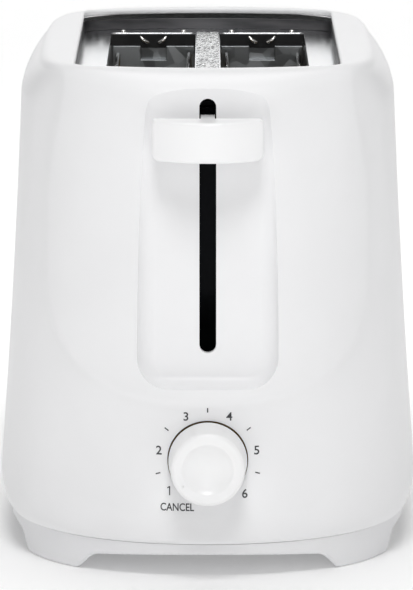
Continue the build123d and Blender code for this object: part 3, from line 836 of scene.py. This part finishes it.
def makeKnob():
    k = knobShape
    low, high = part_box("lever_knob")
    shape = {"half": high.x / mm, "low": low.z / mm, "high": high.z / mm, "front": low.y / mm - middleY}
    rings = knobRings(shape)
    count, columns = rings.shape[:2]
    last = (count - 1) * columns  # the front face starts here: upright strips between two rounded ends
    corner, side = k["cornerSteps"] + 1, 2 * (k["cornerSteps"] + 1)
    topEnd, lowStart = side + k["longSteps"], 2 * side + k["longSteps"] - 2
    upper = [last + i for i in range(side - 1, topEnd)]
    lower = [last] + [last + i for i in range(columns - 1, lowStart - 1, -1)]
    faces = gridFaces(count, columns, False) + [tuple(reversed(range(columns)))]
    faces += [(a, b, d, c) for a, b, c, d in zip(upper, upper[1:], lower, lower[1:])]
    faces += [tuple(range(last, last + side)), tuple(range(last + topEnd - 1, last + lowStart + 1))]
    knob = newPiece("leverKnob", rings.reshape(-1, 3), faces)
    facesOut(knob.data)
    bottom, top, half = shape["low"] + k["tabBottomUp"], shape["high"] - k["tabTopDown"], k["tabHalfWidth"]
    tab = stackPiece("knobTab", [[(-half, y, bottom), (half, y, bottom), (half, y, top), (-half, y, top)]
                                 for y in (k["back"] - 1, k["tabInner"])])
    knob = joined("leverKnob", [knob, tab])
    smoothFaces(knob, 40)
    finishPiece(knob, "polishedAbs", "white_knob", "carriage", "lever_knob")


makeKnob()
print("knob made")


# browning dial

dialShape = {
    "sideRadius": (dialHigh.x - dialLow.x) / 2 / mm, "faceRadius": 14.6, "rimRound": 1.9,
    "dishRadius": 9.6, "dishDeep": 2.6, "dishRound": 0.9, "dishEdge": 0.35,
    "back": -128.6, "backRound": 0.4, "front": -146.0, "sides": 160,
    "pointerAngle": 214, "pointerFrom": 10.9, "pointerTo": 13.6, "pointerWidth": 0.9, "pointerHigh": 0.18,
}


def dialProfile():
    # radius and place along Y, from the back's middle over the rim to the dish's middle
    d = dialShape
    points = [(0, d["back"]), (d["sideRadius"] - d["backRound"], d["back"]),
              (d["sideRadius"], d["back"] - d["backRound"])]
    points.append((d["faceRadius"] + 0.05, d["front"] + d["rimRound"] + 1))
    for turn in np.linspace(0, math.pi / 2, 10):
        points.append((d["faceRadius"] - d["rimRound"] * (1 - math.cos(turn)),
                       d["front"] + d["rimRound"] * (1 - math.sin(turn))))
    inner = d["dishRadius"] + d["dishRound"]
    for share in np.linspace(0, 1, 6):
        points.append((inner - d["dishRound"] * share, d["front"] + d["dishEdge"] * share ** 2))
    for share in np.linspace(1, 0, 24)[1:]:
        radius = d["dishRadius"] * share
        points.append((radius, d["front"] + d["dishEdge"] + d["dishDeep"] * (1 - share ** 2) ** 0.8))
    return points


def latheY(name, points, z, sides):
    turn = np.linspace(0, 2 * math.pi, sides, endpoint=False)
    places, rings = [], []
    for radius, y in points:
        if radius < 1e-6:
            rings.append([len(places)] * sides)
            places.append((0, y, z))
        else:
            rings.append([len(places) + i for i in range(sides)])
            places += [(radius * math.cos(t), y, z + radius * math.sin(t)) for t in turn]
    faces = []
    for low, high in zip(rings, rings[1:]):
        for i in range(sides):
            k = (i + 1) % sides
            corners = [low[i], low[k], high[k], high[i]]
            faces.append(tuple(dict.fromkeys(corners)))
    piece = newPiece(name, places, faces)
    facesOut(piece.data)
    return piece


def makeDial():
    d = dialShape
    dial = latheY("dialCap", dialProfile(), holes["dialZ"], d["sides"])
    smoothFaces(dial, 40)
    finishPiece(dial, "polishedAbs", "white_dial", "dial", "browning_dial")


def makePointer():
    # a low oval mark on the rim
    d = dialShape
    angle = math.radians(d["pointerAngle"])
    along = np.array((math.cos(angle), 0, math.sin(angle)))
    across = np.array((-math.sin(angle), 0, math.cos(angle)))
    centre = np.array((0, 0, holes["dialZ"]))
    half = (d["pointerTo"] - d["pointerFrom"]) / 2
    rings = []
    for share, lift in ((1.0, -0.5), (1.0, 0.0), (0.75, d["pointerHigh"])):
        ring = []
        for turn in np.linspace(0, 2 * math.pi, 24, endpoint=False):
            reach = d["pointerFrom"] + half + half * math.cos(turn) * share
            wide = d["pointerWidth"] / 2 * math.sin(turn) * share
            drop = max(0, reach - (d["faceRadius"] - d["rimRound"]))
            y = d["front"] + drop ** 2 / (2 * d["rimRound"]) - lift + d["pointerHigh"]
            ring.append(centre + along * reach + across * wide + (0, y, 0))
        rings.append(ring)
    pointer = stackPiece("dialPointer", rings)
    smoothFaces(pointer, 40)
    finishPiece(pointer, "satinPolypropylene", "white_dial", "dial")


makeDial()
makePointer()
print("dial made")


# printed scale round the dial

scaleMarks = {
    "numeralAngles": (218, 169, 116, 64.5, 11, -42), "numeralRadius": 19.6, "numeralHigh": 3.5,
    "weight": 0.012, "ink": 0.05,  # the strokes' added width and the ink's thickness
    "tickFrom": -15, "tickStep": 52.6, "ticks": 5, "tickRadius": 20.3, "tickLong": 1.9, "tickWide": 0.48,
    "word": "CANCEL", "wordX": -12, "wordZ": dialMiddle - 18.3, "wordHigh": 3.0, "wordWide": 13.2,
}


def shellSurface():
    mesh = shell.data
    return BVHTree.FromPolygons([v.co for v in mesh.vertices], [tuple(p.vertices) for p in mesh.polygons])


def layOnFront(piece, tree):
    # moves a flat mark drawn in X and Z onto the shell's front, its Y kept as thickness
    for vertex in piece.data.vertices:
        hit = tree.ray_cast(Vector((vertex.co.x, cadBox[0].y - 0.05, vertex.co.z)), Vector((0, 1, 0)))[0]
        vertex.co.y += hit.y - scaleMarks["ink"] * mm
    piece.data.update()


def textPiece(name, word, x, z, high, wide=None):
    curve = bpy.data.curves.new(name, "FONT")
    curve.body = word
    curve.extrude = 0.01
    curve.offset = scaleMarks["weight"]
    text = bpy.data.objects.new(name, curve)
    bpy.context.scene.collection.objects.link(text)
    bpy.context.view_layer.update()
    mesh = bpy.data.meshes.new_from_object(text.evaluated_get(bpy.context.evaluated_depsgraph_get()))
    bpy.data.objects.remove(text)
    points = np.array([v.co for v in mesh.vertices])
    low, size = points.min(0), np.ptp(points, 0)
    scaleZ = high / size[1]
    scaleX = wide / size[0] if wide else scaleZ
    points -= low + size / 2
    ink = scaleMarks["ink"] / size[2]
    flat = np.stack((x + points[:, 0] * scaleX, points[:, 2] * -ink, z + points[:, 1] * scaleZ), 1) * mm
    mesh.vertices.foreach_set("co", flat.ravel())
    piece = bpy.data.objects.new(name, mesh)
    bpy.context.scene.collection.objects.link(piece)
    return piece


def flaggedOne(x, z, high):
    # a figure one with a flag, as shares of its height
    ring = ((0.06, -0.5), (0.18, -0.5), (0.18, 0.5), (0.07, 0.5), (-0.16, 0.36), (-0.11, 0.25), (0.06, 0.35))
    thick = scaleMarks["ink"]
    return stackPiece("numeralOne", [[(x + across * high, y - middleY, z + up * high) for across, up in ring]
                                     for y in (0, thick)])


def newTree(name, words):
    # a node tree with named inputs, and the sockets that carry them
    kinds = {"Count": "NodeSocketInt", "Place": "NodeSocketVector", "Material": "NodeSocketMaterial"}
    tree = bpy.data.node_groups.new(name, "GeometryNodeTree")
    tree.interface.new_socket("Geometry", in_out="OUTPUT", socket_type="NodeSocketGeometry")
    for word in words:
        tree.interface.new_socket(word, in_out="INPUT", socket_type=kinds.get(word, "NodeSocketFloat"))
    return tree, addNode(tree, "NodeGroupInput").outputs


def endTree(tree, copies, material):
    # real geometry with its material, as the tree's output
    real = addNode(tree, "GeometryNodeRealizeInstances", {"Geometry": copies.outputs[0]})
    done = addNode(tree, "GeometryNodeSetMaterial", {"Geometry": real.outputs[0], "Material": material})
    addNode(tree, "NodeGroupOutput", {0: done.outputs[0]})
    return tree


def tickTree():
    # bars set round an arc
    tree, given = newTree("dialTicks", ("Count", "From", "Step", "Radius", "Long", "Wide", "Thick",
                                        "Material"))
    points = addNode(tree, "GeometryNodePoints", {"Count": given["Count"]})
    index = addNode(tree, "GeometryNodeInputIndex").outputs[0]
    angle = addNode(tree, "ShaderNodeMath", {0: index, 1: given["Step"], 2: given["From"]},
                    operation="MULTIPLY_ADD").outputs[0]
    turned = addNode(tree, "ShaderNodeMath", {0: angle, 1: -1.0}, operation="MULTIPLY").outputs[0]
    spin = addNode(tree, "ShaderNodeCombineXYZ", {"Y": turned}).outputs[0]
    arm = addNode(tree, "ShaderNodeCombineXYZ", {"X": given["Radius"]}).outputs[0]
    place = addNode(tree, "ShaderNodeVectorRotate", {"Vector": arm, "Rotation": spin},
                    rotation_type="EULER_XYZ").outputs[0]
    moved = addNode(tree, "GeometryNodeSetPosition", {"Geometry": points.outputs[0], "Position": place})
    size = addNode(tree, "ShaderNodeCombineXYZ", {"X": given["Long"], "Y": given["Thick"],
                                                  "Z": given["Wide"]})
    bar = addNode(tree, "GeometryNodeMeshCube", {"Size": size.outputs[0]})
    bars = addNode(tree, "GeometryNodeInstanceOnPoints", {"Points": moved.outputs[0],
                                                          "Instance": bar.outputs[0], "Rotation": spin})
    return endTree(tree, bars, given["Material"])


def grown(name, tree, values):
    # runs a node tree on an empty mesh and keeps the plain result
    piece = bpy.data.objects.new(name, bpy.data.meshes.new(name))
    bpy.context.scene.collection.objects.link(piece)
    modifier = piece.modifiers.new(name, "NODES")
    modifier.node_group = tree
    for item in tree.interface.items_tree:
        if item.in_out == "INPUT":
            modifier[item.identifier] = values[item.name]
    settle(piece)
    return piece


def makeScale():
    s = scaleMarks
    tree = shellSurface()
    marks = []
    for number, degrees in enumerate(s["numeralAngles"], 1):
        angle = math.radians(degrees)
        x = s["numeralRadius"] * math.cos(angle)
        z = holes["dialZ"] + s["numeralRadius"] * math.sin(angle)
        if number == 1:
            marks.append(flaggedOne(x, z, s["numeralHigh"]))
        else:
            marks.append(textPiece(f"numeral{number}", str(number), x, z, s["numeralHigh"]))
    numerals = joined("scaleNumerals", marks)
    word = textPiece("stopWord", s["word"], s["wordX"], s["wordZ"], s["wordHigh"], s["wordWide"])
    ticks = grown("scaleTicks", tickTree(), {
        "Count": s["ticks"], "From": math.radians(s["tickFrom"]), "Step": math.radians(s["tickStep"]),
        "Radius": s["tickRadius"] * mm, "Long": s["tickLong"] * mm, "Wide": s["tickWide"] * mm,
        "Thick": s["ink"] * mm, "Material": materials["padPrintInk"]})
    ticks.data.transform(Matrix.Translation((0, 0, holes["dialZ"] * mm)))
    for piece in (numerals, word, ticks):
        layOnFront(piece, tree)
        finishPiece(piece, "padPrintInk", "black_plastic", "chassis")


makeScale()
print("dial scale made")


# steel top, rivets and stays

softened("top_plate", "topPlate", 0.3, "top_steel", "chassis")
softened("slot_liner", "slotLiner", 0.3, "liner_steel", "chassis")
softened("crumb_tray_handle", "trayHandle", 0.8, "white_trim", "crumb_drawer")
softened("cord_gland", "cordGland", 0.5, "white_gland", "chassis")

foilShape = {"halfWidth": 4.7, "from": -59, "to": 81, "lift": 0.35, "gap": 0.05, "crumple": 0.42,
             "columns": 12, "rows": 150}


def makeFoil():
    # a crumpled bright strip between the two slots
    f = foilShape
    random = np.random.default_rng(7)
    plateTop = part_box("top_plate")[1].z / mm
    across = np.linspace(-f["halfWidth"], f["halfWidth"], f["columns"])
    along = np.linspace(f["from"], f["to"], f["rows"])
    bumps = random.uniform(0, f["crumple"], (f["rows"], f["columns"]))
    top = [(x, y, plateTop + f["lift"] + bumps[i, j])
           for i, y in enumerate(along) for j, x in enumerate(across)]
    bottom = [(x, y, plateTop + f["gap"]) for y in along for x in across]
    columns, count = f["columns"], len(top)
    faces = []
    for i in range(f["rows"] - 1):
        for j in range(columns - 1):
            a = i * columns + j
            faces.append((a, a + 1, a + columns + 1, a + columns))
            faces.append((count + a, count + a + columns, count + a + columns + 1, count + a + 1))
    border = list(range(columns)) + [i * columns + columns - 1 for i in range(1, f["rows"])]
    border += [(f["rows"] - 1) * columns + j for j in range(columns - 2, -1, -1)]
    border += [i * columns for i in range(f["rows"] - 2, 0, -1)]
    for a, b in zip(border, border[1:] + border[:1]):
        faces.append((a, count + a, count + b, b))
    foil = newPiece("dividerFoil", top + bottom, faces)
    facesOut(foil.data)
    finishPiece(foil, "crumpledFoil", "top_steel", "chassis")


makeFoil()


rivetShape = {"slotMiddle": 23.25, "spread": 12.95, "radius": 1.3, "high": 0.8}


def rivetTree():
    # four domed heads, a pair over each slot
    tree, given = newTree("slotRivets", ("Middle", "Spread", "Radius", "High", "Place", "Material"))
    points = addNode(tree, "GeometryNodePoints", {"Count": 4})
    index = addNode(tree, "GeometryNodeInputIndex").outputs[0]
    half = addNode(tree, "ShaderNodeMath", {0: index, 1: 2.0}, operation="DIVIDE").outputs[0]
    whole = addNode(tree, "ShaderNodeMath", {0: half}, operation="FLOOR").outputs[0]
    odd = addNode(tree, "ShaderNodeMath", {0: index, 1: 2.0}, operation="MODULO").outputs[0]
    slotSide, pairSide = [addNode(tree, "ShaderNodeMath", {0: step, 1: 2.0, 2: -1.0},
                                  operation="MULTIPLY_ADD").outputs[0] for step in (whole, odd)]
    spread = addNode(tree, "ShaderNodeMath", {0: pairSide, 1: given["Spread"]},
                     operation="MULTIPLY").outputs[0]
    x = addNode(tree, "ShaderNodeMath", {0: slotSide, 1: given["Middle"], 2: spread},
                operation="MULTIPLY_ADD").outputs[0]
    offset = addNode(tree, "ShaderNodeCombineXYZ", {"X": x}).outputs[0]
    place = addNode(tree, "ShaderNodeVectorMath", {0: offset, 1: given["Place"]}, operation="ADD").outputs[0]
    moved = addNode(tree, "GeometryNodeSetPosition", {"Geometry": points.outputs[0], "Position": place})
    ball = addNode(tree, "GeometryNodeMeshUVSphere", {"Segments": 24, "Rings": 12, "Radius": given["Radius"]})
    flat = addNode(tree, "ShaderNodeMath", {0: given["High"], 1: given["Radius"]},
                   operation="DIVIDE").outputs[0]
    squash = addNode(tree, "ShaderNodeCombineXYZ", {"X": 1.0, "Y": 1.0, "Z": flat}).outputs[0]
    heads = addNode(tree, "GeometryNodeInstanceOnPoints", {"Points": moved.outputs[0],
                                                           "Instance": ball.outputs[0], "Scale": squash})
    return endTree(tree, heads, given["Material"])


def makeRivets():
    low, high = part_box("slot_rivets")
    rivets = grown("slotRivets", rivetTree(), {
        "Middle": rivetShape["slotMiddle"] * mm, "Spread": rivetShape["spread"] * mm,
        "Radius": rivetShape["radius"] * mm, "High": rivetShape["high"] * mm,
        "Place": (0, (low.y + high.y) / 2, low.z + 0.1 * mm), "Material": materials["nickelPlate"]})
    smoothFaces(rivets, 60)
    finishPiece(rivets, "nickelPlate", "rivet_steel", "chassis", "slot_rivets")


makeRivets()


def tube(name, path, radius, sides=10):
    # a round wire along a list of places, capped
    path = np.asarray(path, float)
    along = np.gradient(path, axis=0)
    along /= np.linalg.norm(along, axis=1, keepdims=True)
    up = np.array((0.0, 0.0, 1.0)) if abs(along[0][2]) < 0.9 else np.array((0.0, 1.0, 0.0))
    rings = []
    for point, forward, thick in zip(path, along, np.broadcast_to(radius, len(path))):
        side = np.cross(forward, up)
        side /= np.linalg.norm(side)
        up = np.cross(side, forward)
        turns = np.linspace(0, 2 * math.pi, sides, endpoint=False)
        rings.append([point + thick * (side * math.cos(t) + up * math.sin(t)) for t in turns])
    piece = stackPiece(name, rings)
    smoothFaces(piece, 50)
    return piece


stayShape = {"halfLong": 17.6, "back": 82.3, "top": 189.9, "bottom": 185.1, "tabBottom": 184.2,
             "tabHalfWidth": 5.6, "tabSlant": 0.5, "thick": 0.6,
             "leafGap": 0.5, "leafBow": 0.5, "leafRise": 0.7,
             "leafLong": 4.6, "leafRadius": 0.85, "leafUp": 187.2, "leafSpread": 3.7, "leafTilt": 32}


def leafPiece(name, middle, hand):
    # a plated spring leaf that swells in the middle and leans outwards
    t = stayShape
    tilt = math.radians(hand * t["leafTilt"])
    shares = np.linspace(-1, 1, 15)
    path = []
    for share in shares:
        reach = share * t["leafLong"] / 2
        path.append((middle + hand * t["leafSpread"] + reach * math.cos(tilt),
                     t["back"] - t["thick"] - t["leafGap"] - t["leafBow"] * (1 - share ** 2),
                     t["leafUp"] + reach * math.sin(tilt) + t["leafRise"] * share ** 2))
    swell = [t["leafRadius"] * (0.25 + 0.75 * math.sqrt(1 - share ** 2)) for share in shares]
    return tube(name, path, swell, 14)


def makeStays():
    # a black strip across the far end of each slot, with two leaves on it
    t = stayShape
    half, tab, slant = t["halfLong"], t["tabHalfWidth"], t["tabSlant"]
    ring = [(-half, t["top"]), (-half, t["bottom"]), (-tab, t["bottom"]), (slant - tab, t["tabBottom"]),
            (tab - slant, t["tabBottom"]), (tab, t["bottom"]), (half, t["bottom"]), (half, t["top"])]
    for side, name in ((-1, "leftStay"), (1, "rightStay")):
        middle = side * rivetShape["slotMiddle"]
        strip = stackPiece(name, [[(middle + x, y, z) for x, z in ring]
                                  for y in (t["back"] - t["thick"], t["back"])])
        finishPiece(strip, "heatProofEnamel", "black_steel", "chassis")
        for hand, word in ((-1, "Near"), (1, "Far")):
            leaf = leafPiece(name + word + "Leaf", middle, hand)
            finishPiece(leaf, "nickelPlate", "guard_wire", "chassis")
    stays = softened("guard_stays", "guardStays", 0.2, "black_steel", "chassis")
    paint(stays, "galvanisedSheet")


makeStays()
print("steel top made")


# lift spring

springShape = {"wire": 0.45, "turns": 13, "perTurn": 22}


def makeSpring():
    low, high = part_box("lift_spring")
    s = springShape
    wire = s["wire"]
    x, y = (low.x + high.x) / 2 / mm, (low.y + high.y) / 2 / mm - middleY
    radius = (high.x - low.x) / 2 / mm - wire
    count = s["turns"] * s["perTurn"]
    path = []
    for i in range(count + 1):
        turn = 2 * math.pi * i / s["perTurn"]
        z = low.z / mm + wire + (high.z / mm - low.z / mm - 2 * wire) * i / count
        path.append((x + radius * math.cos(turn), y + radius * math.sin(turn), z))
    spring = tube("liftSpring", path, wire, 8)
    paint(spring, "zincPlate")
    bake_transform(spring)
    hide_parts("lift_spring")


makeSpring()
print("spring made")
